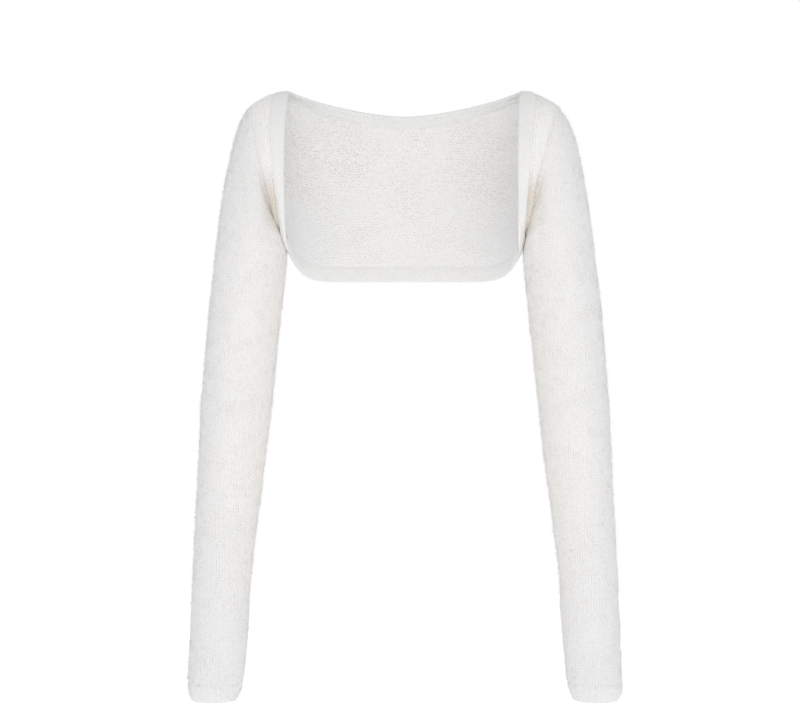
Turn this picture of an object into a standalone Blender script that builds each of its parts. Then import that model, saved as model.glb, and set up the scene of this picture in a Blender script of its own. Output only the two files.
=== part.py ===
"""Bolero cardigan: a cropped, open-fronted knit shrug with long set-in sleeves.

It is modelled as it hangs on a wearer's shoulders, with nobody in it, so every tube and opening is hollow.
+Z is up, -Y is the wearer's front and +X is the wearer's left. The origin is the middle of the shoulder
line, just under the cloth. The sizes are those of the cloth's outer face, in millimetres.

The cloth is laid out first as one skin, in which two pieces that are sewn together share an edge. Each
piece is then cut out of the skin with a small gap along its seams, and gets its wall along the skin's
normals.
"""

import collections
import math

import bmesh
import bpy
from mathutils import Vector

MM = 0.001

# Cloth -----------------------------------------------------------------------------------------------
KNIT_WALL = 2.4  # one layer of the lofty knit, nap included
BAND_WALL = 3.4  # a turned band: the same knit, double
BAND_PROUD = 0.5  # how far a band stands out of the knit beside it
BAND_CROWN = 0.7  # and how much more its middle is raised
SEAM_GAP = 0.6  # between two pieces that are sewn together
KNIT_COLOUR = (0.86, 0.85, 0.84, 1.0)
BAND_COLOUR = (0.90, 0.89, 0.88, 1.0)
KNIT_ROUGHNESS = 0.95

# Faces -----------------------------------------------------------------------------------------------
FACES_AROUND = 24  # round a sleeve; half of them lie on the front
FACES_PER_SECTION = 2  # along a sleeve, from one section of the table to the next
FACES_NECK = 9  # along half of the back neck
FACES_ACROSS = 2  # over the width of a band or of a front panel

HALF_ROUND = FACES_AROUND // 2

# Loops -----------------------------------------------------------------------------------------------
# A loop starts at its top point, runs down the front to its low point and comes up the back. The row gives
# those two points, the depth of its front and back half, how far its front bows outwards (bow), and the
# share that it takes of its side's lean.
Loop = collections.namedtuple("Loop", "top_x top_z low_x low_z mid_y front back bow lean")

#                  top_x  top_z  low_x   low_z  mid_y front back bow lean
FREE_EDGE = Loop(126.0, -0.5, 127.6, -177.0, 0.0, 56.0, 0.0, -2.0, 1.0)
BAND_JOIN = Loop(142.0, -2.0, 129.5, -161.0, 0.0, 58.0, 0.0, 2.5, 1.0)
ARMHOLE = Loop(167.0, -15.0, 133.0, -158.0, 0.0, 47.0, 50.0, 2.0, 1.0)
SLEEVE_SECTIONS = (
    ARMHOLE,
    Loop(175.0, -25.5, 131.4, -166.0, 0.0, 47.5, 50.0, 1.5, 0.7),
    Loop(183.5, -44.0, 130.3, -175.5, 0.5, 48.0, 50.0, 1.0, 0.4),
    Loop(190.5, -69.0, 130.2, -187.0, 1.0, 47.5, 49.0, 0.5, 0.2),
    Loop(197.5, -105.0, 131.4, -203.0, 2.0, 46.5, 48.0, 0.0, 0.0),
    Loop(203.5, -143.0, 133.8, -225.0, 3.0, 45.0, 46.5, 0.0, 0.0),
    Loop(209.0, -185.0, 136.9, -254.0, 4.0, 44.0, 45.0, 0.0, 0.0),
    Loop(214.5, -232.0, 140.6, -287.0, 5.0, 43.0, 43.5, 0.0, 0.0),
    Loop(219.5, -284.0, 144.8, -326.0, 6.0, 41.5, 42.0, 0.0, 0.0),
    Loop(224.5, -343.0, 149.3, -370.0, 6.0, 40.5, 40.5, 0.0, 0.0),
    Loop(227.5, -407.0, 155.0, -416.0, 3.0, 38.5, 38.5, 0.0, 0.0),
    Loop(230.5, -472.0, 162.6, -475.0, -2.0, 35.5, 35.5, 0.0, 0.0),
    Loop(233.3, -534.0, 169.3, -535.0, -8.0, 33.0, 33.0, 0.0, 0.0),
    Loop(235.7, -592.0, 171.8, -592.0, -13.0, 31.0, 31.0, 0.0, 0.0),
    Loop(238.0, -650.0, 178.0, -650.0, -17.0, 28.5, 28.5, 0.0, 0.0),
)
CUFF_SECTIONS = (
    SLEEVE_SECTIONS[-1],
    Loop(237.0, -658.5, 181.4, -658.5, -17.5, 26.6, 26.6, 0.0, 0.0),
    Loop(233.6, -666.0, 184.6, -666.0, -18.0, 23.8, 23.8, 0.0, 0.0),
)

# A side's sign along X, and how far the edges of its front lean out of true, away from the middle.
Side = collections.namedtuple("Side", "name sign lean")
SIDES = (Side("right", -1.0, 4.5), Side("left", 1.0, -4.5))

# Edges of the back -----------------------------------------------------------------------------------
# An edge is a quarter of an oval from the wearer's side (where it meets a loop) to the middle of the back.
# It goes from side_z to middle_z as the given power of the oval's sine or cosine.
Edge = collections.namedtuple("Edge", "side_x side_z depth middle_z")
NECK_FREE = Edge(FREE_EDGE.top_x, FREE_EDGE.top_z, 64.0, -24.0)
NECK_JOIN = Edge(BAND_JOIN.top_x, BAND_JOIN.top_z, 68.5, -38.0)
HEM_JOIN = Edge(BAND_JOIN.low_x, BAND_JOIN.low_z, 97.0, -193.0)
HEM_FREE = Edge(FREE_EDGE.low_x, FREE_EDGE.low_z, 97.0, -209.5)
NECK_RISE = 1.6  # the neckline rises nearly evenly to the shoulders
HEM_RISE = 13.0  # the hem stays level, and rises only at the wearer's sides

BACK_BULGE = 8.0  # how far the shoulder blades round out the middle of the back, to start with
SHOULDER_BULGE = 1.0  # how far the shoulder seam is rounded up
RELAX_STEPS = 40  # the back's cloth settles between its edges in this many steps
BACK_FILL = 0.28  # and the wearer's back pushes it out by this much at each of them
STRIP_CROWN = 3.0  # how far the front panel's ridge stands out between band and armhole

PIECES = ("back_panel", "neck_band", "hem_band")
SIDE_PIECES = ("front_panel", "front_band", "sleeve", "cuff")


def mix(start, end, share):
    return start + (end - start) * share


def loop_point(loop, turn, side):
    """The point of a loop at a share of a full turn: 0 top, 0.25 front, 0.5 low, 0.75 back."""
    angle = math.tau * turn
    down = 0.5 - 0.5 * math.cos(angle)
    ahead = math.sin(angle)
    bow = (loop.bow + side.lean * loop.lean) * max(ahead, 0.0)
    x = mix(loop.top_x, loop.low_x, down) + bow
    y = loop.mid_y - ahead * (loop.front if ahead > 0 else loop.back)
    z = mix(loop.top_z, loop.low_z, down)
    return Vector((side.sign * x, y, z))


def edge_point(edge, across, rise):
    """The point of a back edge: across goes from -1, at the wearer's right, over 0 to 1."""
    angle = 0.5 * math.pi * (1.0 - abs(across))
    level = 1.0 - math.cos(angle) ** rise
    x = math.copysign(edge.side_x * math.cos(angle), across)
    return Vector((x, edge.depth * math.sin(angle), mix(edge.side_z, edge.middle_z, level)))


def between_sections(sections, place):
    """A section of the table, or one between two of them on a smooth curve through all of them."""
    index = min(int(place), len(sections) - 2)
    share = place - index
    before = sections[max(index - 1, 0)]
    start, end = sections[index], sections[index + 1]
    after = sections[min(index + 2, len(sections) - 1)]
    weights = (
        share * (share * (2.0 - share) - 1.0) / 2.0,
        (share * share * (3.0 * share - 5.0) + 2.0) / 2.0,
        share * (share * (4.0 - 3.0 * share) + 1.0) / 2.0,
        share * share * (share - 1.0) / 2.0,
    )
    columns = zip(before, start, end, after)
    return Loop(*(sum(w * value for w, value in zip(weights, column)) for column in columns))


def tube_point(sections, around, along, side):
    return loop_point(between_sections(sections, along * (len(sections) - 1)), around, side)


def shoulder_seam(share, side):
    """From the neck end of the shoulder seam, at 0, to the top of the armhole, at 1."""
    inner, outer = loop_point(BAND_JOIN, 0.0, side), loop_point(ARMHOLE, 0.0, side)
    return inner.lerp(outer, share) + Vector((0.0, 0.0, SHOULDER_BULGE * math.sin(math.pi * share)))


def side_seam(share, side):
    """From the low end of the armhole, at 0, to the band, at 1."""
    return loop_point(ARMHOLE, 0.5, side).lerp(loop_point(BAND_JOIN, 0.5, side), share)


def strip_point(inner, outer, across, down, side, crown):
    """A point of the front between two loops, from the shoulder (down 0) to the side seam (down 1)."""
    start, end = loop_point(inner, 0.5 * down, side), loop_point(outer, 0.5 * down, side)
    raised = crown * math.sin(math.pi * down) * math.sin(math.pi * across)
    return start.lerp(end, across) + Vector((0.0, -raised, 0.0))


def front_panel_point(across, down, side):
    point = strip_point(BAND_JOIN, ARMHOLE, across, down, side, STRIP_CROWN)
    at_seam = math.cos(math.pi * down) ** 8 if down < 0.5 else 0.0
    point.z += at_seam * SHOULDER_BULGE * math.sin(math.pi * across)
    return point


def front_band_point(across, down, side):
    return strip_point(FREE_EDGE, BAND_JOIN, across, down, side, 0.0)


def neck_band_point(across, down):
    return edge_point(NECK_FREE, across, NECK_RISE).lerp(edge_point(NECK_JOIN, across, NECK_RISE), down)


def hem_band_point(across, down):
    return edge_point(HEM_JOIN, across, HEM_RISE).lerp(edge_point(HEM_FREE, across, HEM_RISE), down)


def back_top(across, side):
    """The back's upper edge: half of the neck, then the shoulder seam."""
    neck_share = FACES_NECK / (FACES_NECK + FACES_ACROSS)
    if across <= neck_share:
        return edge_point(NECK_JOIN, side.sign * across / neck_share, NECK_RISE)
    return shoulder_seam((across - neck_share) / (1.0 - neck_share), side)


def back_side(down, side):
    """The back's side edge: the back half of the armhole, then the side seam."""
    armhole_share = HALF_ROUND / (HALF_ROUND + FACES_ACROSS)
    if down <= armhole_share:
        return loop_point(ARMHOLE, 1.0 - 0.5 * down / armhole_share, side)
    return side_seam((down - armhole_share) / (1.0 - armhole_share), side)


def back_point(across, down):
    """A point of the back, stretched between its four edges: across -1 to 1, down 0 to 1."""
    side = SIDES[1] if across > 0.0 else SIDES[0]
    out = abs(across)
    top, bottom = back_top(out, side), edge_point(HEM_JOIN, across, HEM_RISE)
    middle_top, middle_low = back_top(0.0, side), edge_point(HEM_JOIN, 0.0, HEM_RISE)
    middle = middle_top.lerp(middle_low, down) + Vector((0.0, BACK_BULGE * math.sin(math.pi * down), 0.0))
    corner_line = back_top(1.0, side).lerp(edge_point(HEM_JOIN, side.sign, HEM_RISE), down)
    to_side = out * out
    middle_line = middle_top.lerp(middle_low, down)
    point = top.lerp(bottom, down)
    point += (middle - middle_line) * (1.0 - to_side)
    return point + (back_side(down, side) - corner_line) * to_side


def add_faces(skin, tag, columns, rows, place):
    """Adds a grid of faces to the skin, marked with its piece's number, each corner put by place."""
    known = set(skin.faces)
    grid = bmesh.ops.create_grid(skin, x_segments=columns, y_segments=rows, size=0.5)
    for corner in grid["verts"]:
        corner.co = place(corner.co.x + 0.5, corner.co.y + 0.5)
    piece = skin.faces.layers.int["piece"]
    for face in skin.faces:
        if face not in known:
            face[piece] = tag


def relax(skin, tag):
    """Lets the cloth of one piece settle evenly between its edges, filled out from inside."""
    piece = skin.faces.layers.int["piece"]
    inside = [corner for corner in skin.verts
              if not corner.is_boundary and all(face[piece] == tag for face in corner.link_faces)]
    for _ in range(RELAX_STEPS):
        bmesh.ops.smooth_vert(skin, verts=inside, factor=0.5, use_axis_x=True, use_axis_y=True, use_axis_z=True)
        skin.normal_update()
        for corner in inside:
            corner.co += corner.normal * BACK_FILL


def build_skin(names):
    """The whole garment as one surface of no thickness, in millimetres."""
    skin = bmesh.new()
    skin.faces.layers.int.new("piece")
    tag = names.index
    back_half = FACES_NECK + FACES_ACROSS
    add_faces(skin, tag("back_panel"), 2 * back_half, HALF_ROUND + FACES_ACROSS,
              lambda u, v: back_point(2.0 * u - 1.0, v))
    add_faces(skin, tag("neck_band"), 2 * FACES_NECK, FACES_ACROSS, lambda u, v: neck_band_point(2.0 * u - 1.0, v))
    add_faces(skin, tag("hem_band"), 2 * back_half, FACES_ACROSS, lambda u, v: hem_band_point(2.0 * u - 1.0, v))
    for side in SIDES:
        add_faces(skin, tag("front_panel_" + side.name), FACES_ACROSS, HALF_ROUND,
                  lambda u, v: front_panel_point(u, v, side))
        add_faces(skin, tag("front_band_" + side.name), FACES_ACROSS, HALF_ROUND,
                  lambda u, v: front_band_point(u, v, side))
        for name, sections in (("sleeve_", SLEEVE_SECTIONS), ("cuff_", CUFF_SECTIONS)):
            rows = FACES_PER_SECTION * (len(sections) - 1)
            add_faces(skin, tag(name + side.name), FACES_AROUND, rows,
                      lambda u, v: tube_point(sections, u, v, side))
    bmesh.ops.remove_doubles(skin, verts=skin.verts, dist=0.01)
    bmesh.ops.recalc_face_normals(skin, faces=skin.faces)
    relax(skin, tag("back_panel"))
    skin.normal_update()
    return skin


def open_seams(piece, normals):
    """Draws the edges of a piece back from its seams by half of the seam gap, square to the wall."""
    moves = {}
    for edge in piece.edges:
        if edge.is_boundary:
            along = (edge.verts[1].co - edge.verts[0].co).normalized()
            inward = edge.link_faces[0].calc_center_median() - edge.verts[0].co
            inward -= along * inward.dot(along)
            for corner in edge.verts:
                level = inward - corner[normals] * inward.dot(corner[normals])
                moves[corner] = moves.get(corner, Vector()) + level.normalized()
    for corner, inward in moves.items():
        corner.co += inward.normalized() * 0.5 * SEAM_GAP


def cut_piece(skin, tag, name):
    """One piece of the skin as a closed wall of cloth, in metres."""
    is_band = "band" in name or "cuff" in name
    wall, proud, crown = (BAND_WALL, BAND_PROUD, BAND_CROWN) if is_band else (KNIT_WALL, 0.0, 0.0)
    piece = skin.copy()
    normals = piece.verts.layers.float_vector.new("normal")
    for corner in piece.verts:
        corner[normals] = corner.normal
    marks = piece.faces.layers.int["piece"]
    bmesh.ops.delete(piece, geom=[face for face in piece.faces if face[marks] != tag], context="FACES")
    open_seams(piece, normals)
    outer_places = piece.verts.layers.float_vector.new("outer")
    for corner in piece.verts:
        raised = proud if corner.is_boundary else proud + crown
        corner[outer_places] = corner.co + corner[normals] * raised
    added = bmesh.ops.solidify(piece, geom=piece.faces[:], thickness=wall)["geom"]
    inner = {item for item in added if isinstance(item, bmesh.types.BMVert)}
    for corner in piece.verts:
        depth = wall if corner in inner else 0.0
        corner.co = (corner[outer_places] - corner[normals] * depth) * MM
    mesh = bpy.data.meshes.new(name)
    piece.to_mesh(mesh)
    piece.free()
    mesh.shade_smooth()
    return mesh


def cloth_material(name, is_band):
    material = bpy.data.materials.new(name)
    material.use_nodes = True
    shader = material.node_tree.nodes["Principled BSDF"]
    shader.inputs["Base Color"].default_value = BAND_COLOUR if is_band else KNIT_COLOUR
    shader.inputs["Roughness"].default_value = KNIT_ROUGHNESS
    shader.inputs["Metallic"].default_value = 0.0
    return material


def main():
    for old in list(bpy.data.objects):
        bpy.data.objects.remove(old)
    garment = bpy.data.collections.new("bolero_cardigan")
    bpy.context.scene.collection.children.link(garment)
    names = list(PIECES) + [f"{piece}_{side.name}" for side in SIDES for piece in SIDE_PIECES]
    skin = build_skin(names)
    for tag, name in enumerate(names):
        cloth = bpy.data.objects.new(name, cut_piece(skin, tag, name))
        cloth.data.materials.append(cloth_material(name + "_knit", "band" in name or "cuff" in name))
        garment.objects.link(cloth)
    skin.free()


main()
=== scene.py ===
"""Looks of the bolero cardigan: brushed open knit, closer edge bands, and the nap that stands on both.

The cloth is laid out as one skin of large faces from the garment's own sizes, smoothed as a whole, and
then cut along its seams, so that neighbouring pieces keep meeting. Sizes are in millimetres unless a
property says otherwise.
"""

import functools
import math
from collections import namedtuple

import bmesh
import bpy
import numpy as np
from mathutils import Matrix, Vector, kdtree, noise


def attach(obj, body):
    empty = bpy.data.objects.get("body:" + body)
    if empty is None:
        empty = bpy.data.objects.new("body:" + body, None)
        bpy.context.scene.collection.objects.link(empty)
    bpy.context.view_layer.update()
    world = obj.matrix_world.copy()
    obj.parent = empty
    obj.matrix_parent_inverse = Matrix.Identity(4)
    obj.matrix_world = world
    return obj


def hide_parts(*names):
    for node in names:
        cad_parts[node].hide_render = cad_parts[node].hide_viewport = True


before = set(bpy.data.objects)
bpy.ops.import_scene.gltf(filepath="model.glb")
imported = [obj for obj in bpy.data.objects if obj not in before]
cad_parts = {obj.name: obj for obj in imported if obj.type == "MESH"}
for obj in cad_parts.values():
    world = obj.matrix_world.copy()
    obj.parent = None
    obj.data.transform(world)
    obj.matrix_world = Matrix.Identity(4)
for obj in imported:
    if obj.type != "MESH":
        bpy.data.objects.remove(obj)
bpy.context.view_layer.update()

bl_info = {
    "name": "Bolero Cardigan",
    "version": (1, 0, 0),
    "blender": (4, 5, 0),
    "location": "3D View > Sidebar > Bolero",
    "description": "Builds a worn, hollow bolero cardigan in brushed open knit",
    "category": "Object",
}

MM = 0.001

# ---- Cut and form of the garment ----
FACES_AROUND = 24
FACES_PER_SECTION = 2
FACES_NECK = 9
FACES_ACROSS = 2
HALF_ROUND = FACES_AROUND // 2
BACK_HALF = FACES_NECK + FACES_ACROSS
SMOOTH_LEVELS = 3  # each large face becomes 8 by 8 small ones

# A loop starts at its top point, runs down the front to its low point and comes up the back.
Loop = namedtuple("Loop", "top_x top_z low_x low_z mid_y front back bow lean", defaults=(0.0, 0.0))

FREE_EDGE = Loop(126, -0.5, 127.6, -177, 0, 56, 0, -2, 1)
BAND_JOIN = Loop(142, -2, 129.5, -161, 0, 58, 0, 2.5, 1)
ARMHOLE = Loop(167, -15, 133, -158, 0, 47, 50, 2, 1)
SLEEVE_SECTIONS = (
    ARMHOLE,
    Loop(175, -25.5, 131.4, -166, 0, 47.5, 50, 1.5, 0.7),
    Loop(183.5, -44, 130.3, -175.5, 0.5, 48, 50, 1, 0.4),
    Loop(190.5, -69, 130.2, -187, 1, 47.5, 49, 0.5, 0.2),
    Loop(197.5, -105, 131.4, -203, 2, 46.5, 48),
    Loop(203.5, -143, 133.8, -225, 3, 45, 46.5),
    Loop(209, -185, 136.9, -254, 4, 44, 45),
    Loop(214.5, -232, 140.6, -287, 5, 43, 43.5),
    Loop(219.5, -284, 144.8, -326, 6, 41.5, 42),
    Loop(224.5, -343, 149.3, -370, 6, 40.5, 40.5),
    Loop(227.5, -407, 155, -416, 3, 38.5, 38.5),
    Loop(230.5, -472, 162.6, -475, -2, 35.5, 35.5),
    Loop(233.3, -534, 169.3, -535, -8, 33, 33),
    Loop(235.7, -592, 171.8, -592, -13, 31, 31),
    Loop(238, -650, 178, -650, -17, 28.5, 28.5),
)
CUFF_SECTIONS = (
    SLEEVE_SECTIONS[-1],
    Loop(237, -658.5, 181.4, -658.5, -17.5, 26.6, 26.6),
    Loop(233.6, -666, 184.6, -666, -18, 23.8, 23.8),
)

Side = namedtuple("Side", "name sign lean")
SIDES = (Side("right", -1.0, 4.5), Side("left", 1.0, -4.5))

# An edge of the back is a quarter of an oval from the wearer's side to the middle.
Edge = namedtuple("Edge", "side_x side_z depth middle_z")
NECK_FREE = Edge(FREE_EDGE.top_x, FREE_EDGE.top_z, 64.0, -24.0)
NECK_JOIN = Edge(BAND_JOIN.top_x, BAND_JOIN.top_z, 68.5, -38.0)
HEM_JOIN = Edge(BAND_JOIN.low_x, BAND_JOIN.low_z, 97.0, -193.0)
HEM_FREE = Edge(FREE_EDGE.low_x, FREE_EDGE.low_z, 97.0, -209.5)
NECK_RISE = 1.6
HEM_RISE = 13.0
BACK_BULGE = 8.0
SHOULDER_BULGE = 1.0
RELAX_STEPS = 40
BACK_FILL = 0.28
STRIP_CROWN = 3.0

# The flat cut of each kind of piece in metres: width, length and area. Tubes are counted all round.
Cut = namedtuple("Cut", "width length area")
PIECE_CUTS = {
    "back_panel": Cut(0.40, 0.20, 0.0570),
    "neck_band": Cut(0.33, 0.016, 0.0051),
    "hem_band": Cut(0.37, 0.018, 0.0065),
    "front_panel": Cut(0.032, 0.19, 0.0036),
    "front_band": Cut(0.018, 0.205, 0.0035),
    "sleeve": Cut(0.31, 0.64, 0.1300),
    "cuff": Cut(0.19, 0.0195, 0.0036),
}
PIECE_NAMES = tuple(PIECE_CUTS)[:3] + tuple(
    f"{piece}_{side.name}" for side in SIDES for piece in tuple(PIECE_CUTS)[3:]
)


def kind_of(name):
    """The kind of a piece: its name without its side."""
    return name.removesuffix("_right").removesuffix("_left")


def is_band(name):
    return "band" in name or "cuff" in name


def mix(start, end, share):
    return start + (end - start) * share


def loop_point(loop, turn, side):
    """The point of a loop at a share of a full turn: 0 top, 0.25 front, 0.5 low, 0.75 back."""
    angle = math.tau * turn
    down = 0.5 - 0.5 * math.cos(angle)
    ahead = math.sin(angle)
    bow = (loop.bow + side.lean * loop.lean) * max(ahead, 0.0)
    x = mix(loop.top_x, loop.low_x, down) + bow
    y = loop.mid_y - ahead * (loop.front if ahead > 0 else loop.back)
    z = mix(loop.top_z, loop.low_z, down)
    return Vector((side.sign * x, y, z))


def edge_point(edge, across, rise):
    """The point of a back edge: across goes from -1, at the wearer's right, over 0 to 1."""
    angle = 0.5 * math.pi * (1.0 - abs(across))
    level = 1.0 - math.cos(angle) ** rise
    x = math.copysign(edge.side_x * math.cos(angle), across)
    return Vector((x, edge.depth * math.sin(angle), mix(edge.side_z, edge.middle_z, level)))


def between_sections(sections, place):
    """A section of the table, or one between two of them on a smooth curve through all of them."""
    index = min(int(place), len(sections) - 2)
    share = place - index
    before = sections[max(index - 1, 0)]
    start, end = sections[index], sections[index + 1]
    after = sections[min(index + 2, len(sections) - 1)]
    weights = (
        share * (share * (2.0 - share) - 1.0) / 2.0,
        (share * share * (3.0 * share - 5.0) + 2.0) / 2.0,
        share * (share * (4.0 - 3.0 * share) + 1.0) / 2.0,
        share * share * (share - 1.0) / 2.0,
    )
    columns = zip(before, start, end, after)
    return Loop(*(sum(w * value for w, value in zip(weights, column)) for column in columns))


def tube_point(sections, around, along, side):
    return loop_point(between_sections(sections, along * (len(sections) - 1)), around, side)


def shoulder_seam(share, side):
    inner, outer = loop_point(BAND_JOIN, 0.0, side), loop_point(ARMHOLE, 0.0, side)
    return inner.lerp(outer, share) + Vector((0.0, 0.0, SHOULDER_BULGE * math.sin(math.pi * share)))


def side_seam(share, side):
    return loop_point(ARMHOLE, 0.5, side).lerp(loop_point(BAND_JOIN, 0.5, side), share)


def strip_point(inner, outer, across, down, side, crown):
    """A point of the front between two loops, from the shoulder (down 0) to the side seam (down 1)."""
    start, end = loop_point(inner, 0.5 * down, side), loop_point(outer, 0.5 * down, side)
    raised = crown * math.sin(math.pi * down) * math.sin(math.pi * across)
    return start.lerp(end, across) + Vector((0.0, -raised, 0.0))


def front_panel_point(across, down, side):
    point = strip_point(BAND_JOIN, ARMHOLE, across, down, side, STRIP_CROWN)
    at_seam = math.cos(math.pi * down) ** 8 if down < 0.5 else 0.0
    point.z += at_seam * SHOULDER_BULGE * math.sin(math.pi * across)
    return point


def front_band_point(across, down, side):
    return strip_point(FREE_EDGE, BAND_JOIN, across, down, side, 0.0)


def neck_band_point(across, down):
    return edge_point(NECK_FREE, across, NECK_RISE).lerp(edge_point(NECK_JOIN, across, NECK_RISE), down)


def hem_band_point(across, down):
    return edge_point(HEM_JOIN, across, HEM_RISE).lerp(edge_point(HEM_FREE, across, HEM_RISE), down)


def back_top(across, side):
    neck_share = FACES_NECK / BACK_HALF
    if across <= neck_share:
        return edge_point(NECK_JOIN, side.sign * across / neck_share, NECK_RISE)
    return shoulder_seam((across - neck_share) / (1.0 - neck_share), side)


def back_side(down, side):
    armhole_share = HALF_ROUND / (HALF_ROUND + FACES_ACROSS)
    if down <= armhole_share:
        return loop_point(ARMHOLE, 1.0 - 0.5 * down / armhole_share, side)
    return side_seam((down - armhole_share) / (1.0 - armhole_share), side)


def back_point(across, down):
    """A point of the back, stretched between its four edges: across -1 to 1, down 0 to 1."""
    side = SIDES[1] if across > 0.0 else SIDES[0]
    out = abs(across)
    top, bottom = back_top(out, side), edge_point(HEM_JOIN, across, HEM_RISE)
    middle_line = back_top(0.0, side).lerp(edge_point(HEM_JOIN, 0.0, HEM_RISE), down)
    corner_line = back_top(1.0, side).lerp(edge_point(HEM_JOIN, side.sign, HEM_RISE), down)
    middle = middle_line + Vector((0.0, BACK_BULGE * math.sin(math.pi * down), 0.0))
    to_side = out * out
    point = top.lerp(bottom, down) + (middle - middle_line) * (1.0 - to_side)
    return point + (back_side(down, side) - corner_line) * to_side


def piece_grids():
    """Columns, rows and point function of each piece's grid, and whether it is a tube."""
    def both_ways(place):
        return lambda across, down: place(2.0 * across - 1.0, down)

    grids = {
        "back_panel": (2 * BACK_HALF, HALF_ROUND + FACES_ACROSS, both_ways(back_point), False),
        "neck_band": (2 * FACES_NECK, FACES_ACROSS, both_ways(neck_band_point), False),
        "hem_band": (2 * BACK_HALF, FACES_ACROSS, both_ways(hem_band_point), False),
    }
    for side in SIDES:
        for kind, place in (("front_panel", front_panel_point), ("front_band", front_band_point)):
            strip = functools.partial(place, side=side)
            grids[f"{kind}_{side.name}"] = (FACES_ACROSS, HALF_ROUND, strip, False)
        for kind, sections in (("sleeve", SLEEVE_SECTIONS), ("cuff", CUFF_SECTIONS)):
            tube = functools.partial(tube_point, sections, side=side)
            rows = FACES_PER_SECTION * (len(sections) - 1)
            grids[f"{kind}_{side.name}"] = (FACES_AROUND, rows, tube, True)
    return grids


# ---- The skin: one surface, with the run of the knit on it ----
def add_grid(skin, tag, columns, rows, place):
    """Adds a grid of faces with its piece's number, and keeps each corner's column and row as its UV."""
    known = set(skin.faces)
    grid = bmesh.ops.create_grid(skin, x_segments=columns, y_segments=rows, size=0.5)
    spot = {corner: (corner.co.x + 0.5, corner.co.y + 0.5) for corner in grid["verts"]}
    piece, knit = skin.faces.layers.int["piece"], skin.loops.layers.uv["knit"]
    for face in skin.faces:
        if face not in known:
            face[piece] = tag
            for loop in face.loops:
                across, down = spot[loop.vert]
                loop[knit].uv = (round(across * columns), round(down * rows))
    for corner, (across, down) in spot.items():
        corner.co = place(across, down)


def relax(skin, tag):
    """Lets the cloth of one piece settle evenly between its edges, filled out from inside."""
    piece = skin.faces.layers.int["piece"]
    inside = [corner for corner in skin.verts
              if not corner.is_boundary and all(face[piece] == tag for face in corner.link_faces)]
    for _ in range(RELAX_STEPS):
        bmesh.ops.smooth_vert(
            skin, verts=inside, factor=0.5, use_axis_x=True, use_axis_y=True, use_axis_z=True)
        skin.normal_update()
        for corner in inside:
            corner.co += corner.normal * BACK_FILL


def lengths_along(points, spots):
    """How far the cloth runs from the first of these spots to each of them."""
    total, lengths = 0.0, {spots[0]: 0.0}
    for before, spot in zip(spots, spots[1:]):
        total += (points[spot] - points[before]).length
        lengths[spot] = total
    return lengths


def run_knit(skin, tag, columns, rows, is_tube):
    """Turns columns and rows into lengths of cloth in metres: across from the middle line, and up.

    A sleeve's knit starts at its top line and meets itself at the underarm seam."""
    piece, knit = skin.faces.layers.int["piece"], skin.loops.layers.uv["knit"]
    faces = [face for face in skin.faces if face[piece] == tag]
    points = {}
    for face in faces:
        for loop in face.loops:
            column, row = loop[knit].uv
            points[round(column), round(row)] = loop.vert.co.copy()
    start = 0 if is_tube or columns <= FACES_ACROSS else columns // 2
    across, up = {}, {}
    for row in range(rows + 1):
        back = lengths_along(points, [(column, row) for column in range(start, -1, -1)])
        across.update((spot, -length) for spot, length in back.items())
        across.update(lengths_along(points, [(column, row) for column in range(start, columns + 1)]))
    for column in range(columns + 1):
        up.update(lengths_along(points, [(column, row) for row in range(rows, -1, -1)]))
    for face in faces:
        middle = sum(loop[knit].uv.x for loop in face.loops) / len(face.loops)
        for loop in face.loops:
            spot = round(loop[knit].uv.x), round(loop[knit].uv.y)
            all_round = across[columns, spot[1]] if is_tube and middle > columns / 2 else 0.0
            loop[knit].uv = ((across[spot] - all_round) * MM, up[spot] * MM)


def coarse_skin():
    skin = bmesh.new()
    skin.faces.layers.int.new("piece")
    skin.loops.layers.uv.new("knit")
    grids = piece_grids()
    for tag, name in enumerate(PIECE_NAMES):
        columns, rows, place, _ = grids[name]
        add_grid(skin, tag, columns, rows, place)
    bmesh.ops.remove_doubles(skin, verts=skin.verts, dist=0.01)
    bmesh.ops.recalc_face_normals(skin, faces=skin.faces)
    relax(skin, PIECE_NAMES.index("back_panel"))
    for tag, name in enumerate(PIECE_NAMES):
        columns, rows, _, is_tube = grids[name]
        run_knit(skin, tag, columns, rows, is_tube)
    return skin


def as_mesh(shape, name):
    mesh = bpy.data.meshes.new(name)
    shape.to_mesh(mesh)
    shape.free()
    return mesh


def add_object(name, data):
    added = bpy.data.objects.new(name, data)
    bpy.context.scene.collection.objects.link(added)
    return added


@functools.cache
def fine_skin():
    """The skin smoothed as a whole, as a mesh in millimetres."""
    holder = add_object("skin_cage", as_mesh(coarse_skin(), "skin_cage"))
    smooth = holder.modifiers.new("smooth", "SUBSURF")
    smooth.levels = smooth.render_levels = SMOOTH_LEVELS
    smooth.uv_smooth = "PRESERVE_BOUNDARIES"
    evaluated = holder.evaluated_get(bpy.context.evaluated_depsgraph_get())
    fine = bpy.data.meshes.new_from_object(evaluated)
    bpy.data.objects.remove(holder)
    return fine


# ---- Walls of cloth ----
SEAM_GAP = 0.04
SEAM_DIP = 0.18  # how far both pieces sink along a seam
SEAM_REACH = 2.5
EDGE_KEPT = 0.3  # share of the wall that is left at a free, rounded edge
BLEND_REACH = 3.5  # over how much cloth a band rises from its seam
CALM_REACH = 5.0  # over how much cloth the lumps start from an edge
HALF_CHEST = 120.0  # how far out from the middle the cloth counts as fully on one side

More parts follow.
